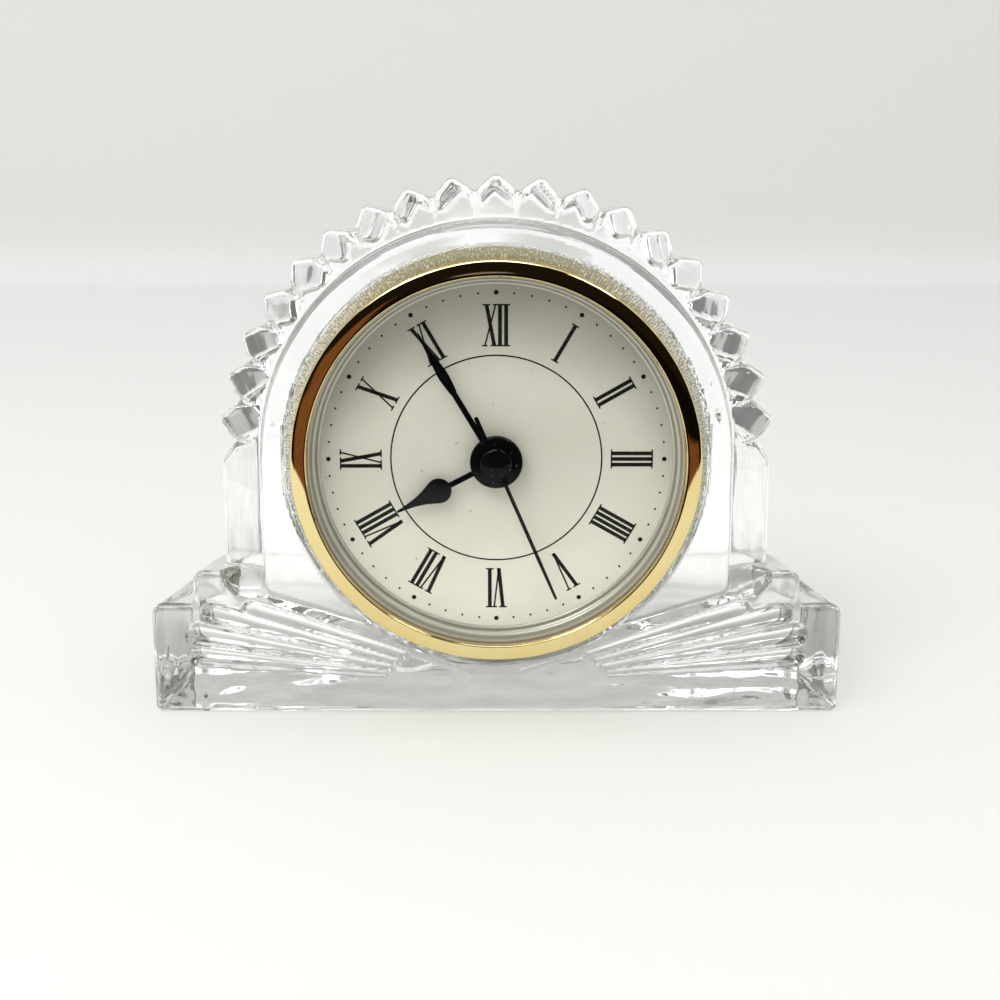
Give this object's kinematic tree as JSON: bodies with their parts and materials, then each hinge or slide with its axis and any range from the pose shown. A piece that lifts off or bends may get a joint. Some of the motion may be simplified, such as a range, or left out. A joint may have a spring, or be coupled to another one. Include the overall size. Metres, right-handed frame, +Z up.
{
  "type": "mantel clock",
  "caption": "Pressed clear crystal mantel clock, a scalloped arch on a stepped fluted base, with a push-in quartz clock, gilt bezel and Roman dial.",
  "frame": {"origin": "middle of the footprint's bounding box on the surface that the clock stands on", "axes": "+Z up, +X to the right of a person who reads the dial, the dial faces -Y"},
  "size_m": [0.1286, 0.046, 0.0996],
  "materials": {
    "crystal": "clear pressed crystal, fire polished",
    "gilt_brass": "polished gilt",
    "lens_glass": "clear, domed",
    "silver_plastic": "satin silver",
    "ivory_card": "matt ivory print ground",
    "case_plastic": "matt",
    "olive_rubber": "matt",
    "frame_plastic": "satin",
    "brass": "satin",
    "steel": "satin",
    "black_gloss": "gloss black",
    "wheel_plastic": "satin",
    "knob_plastic": "matt",
    "magnet": "matt",
    "soft_iron": "satin",
    "copper_wire": "enamelled copper",
    "board_green": "satin",
    "chip_black": "cast resin"
  },
  "bodies": {
    "crystal": {"crystal_block": "crystal"},
    "insert": {"bezel": "gilt_brass", "lens": "lens_glass", "rebate_ring": "silver_plastic", "dial": "ivory_card", "movement_case": "case_plastic", "grip_ring": "olive_rubber", "main_plate": "frame_plastic", "centre_bush": "brass", "plate_screws": "steel", "bridge": "frame_plastic", "bridge_screws": "steel", "motion_post": "steel", "stator": "soft_iron", "coil_core": "soft_iron", "coil": "copper_wire", "circuit_board": "board_green", "quartz_can": "steel", "chip_cap": "chip_black", "cell": "steel", "negative_contact": "brass", "positive_contact": "brass"},
    "door": {"battery_door": "knob_plastic"},
    "minute": {"minute_hand": "black_gloss", "cannon_pinion": "brass"},
    "hour": {"hour_hand": "black_gloss", "hour_wheel": "brass"},
    "motion": {"motion_wheel": "wheel_plastic"},
    "setting": {"setting_knob": "knob_plastic", "setting_stem": "steel"},
    "rotor": {"rotor_magnet": "magnet", "rotor_pinion": "wheel_plastic"},
    "intermediate": {"intermediate_wheel": "wheel_plastic"},
    "seconds": {"seconds_hand": "black_gloss", "seconds_wheel": "brass"},
    "third": {"third_wheel": "wheel_plastic"},
    "centre": {"centre_wheel": "wheel_plastic"}
  },
  "joints": [
    {"name": "insert_pull", "type": "slide", "parent": "crystal", "child": "insert", "axis": [0, -1, 0], "range_m": [0, 0.035]},
    {"name": "door_pull", "type": "slide", "parent": "insert", "child": "door", "axis": [0, 1, 0], "range_m": [0, 0.025]},
    {"name": "minute_turn", "type": "hinge", "parent": "insert", "child": "minute", "pos_m": [0, -0.011, 0.0484], "axis": [0, 1, 0], "continuous": true},
    {"name": "hour_turn", "type": "hinge", "parent": "insert", "child": "hour", "pos_m": [0, -0.011, 0.0484], "axis": [0, 1, 0], "continuous": true},
    {"name": "motion_turn", "type": "hinge", "parent": "insert", "child": "motion", "pos_m": [-0.00705, -0.011, 0.04584], "axis": [0, 1, 0], "continuous": true},
    {"name": "setting_turn", "type": "hinge", "parent": "insert", "child": "setting", "pos_m": [-0.01409, 0.004, 0.04327], "axis": [0, 1, 0], "continuous": true},
    {"name": "rotor_turn", "type": "hinge", "parent": "insert", "child": "rotor", "pos_m": [0.00643, -0.009, 0.03727], "axis": [0, 1, 0], "continuous": true},
    {"name": "intermediate_turn", "type": "hinge", "parent": "insert", "child": "intermediate", "pos_m": [0.00402, -0.006, 0.04143], "axis": [0, 1, 0], "continuous": true},
    {"name": "seconds_turn", "type": "hinge", "parent": "insert", "child": "seconds", "pos_m": [0, -0.007, 0.0484], "axis": [0, 1, 0], "continuous": true},
    {"name": "third_turn", "type": "hinge", "parent": "insert", "child": "third", "pos_m": [0.00396, -0.008, 0.05526], "axis": [0, 1, 0], "continuous": true},
    {"name": "centre_turn", "type": "hinge", "parent": "insert", "child": "centre", "pos_m": [0, -0.009, 0.0484], "axis": [0, 1, 0], "continuous": true}
  ],
  "couplings": [
    {"joint": "hour_turn", "follows": "minute_turn", "ratio": 0.083333},
    {"joint": "motion_turn", "follows": "minute_turn", "ratio": -0.33333},
    {"joint": "setting_turn", "follows": "minute_turn", "ratio": 1},
    {"joint": "intermediate_turn", "follows": "rotor_turn", "ratio": -0.2},
    {"joint": "seconds_turn", "follows": "rotor_turn", "ratio": 0.033333},
    {"joint": "third_turn", "follows": "rotor_turn", "ratio": -0.0041667},
    {"joint": "centre_turn", "follows": "rotor_turn", "ratio": 0.00055556}
  ]
}
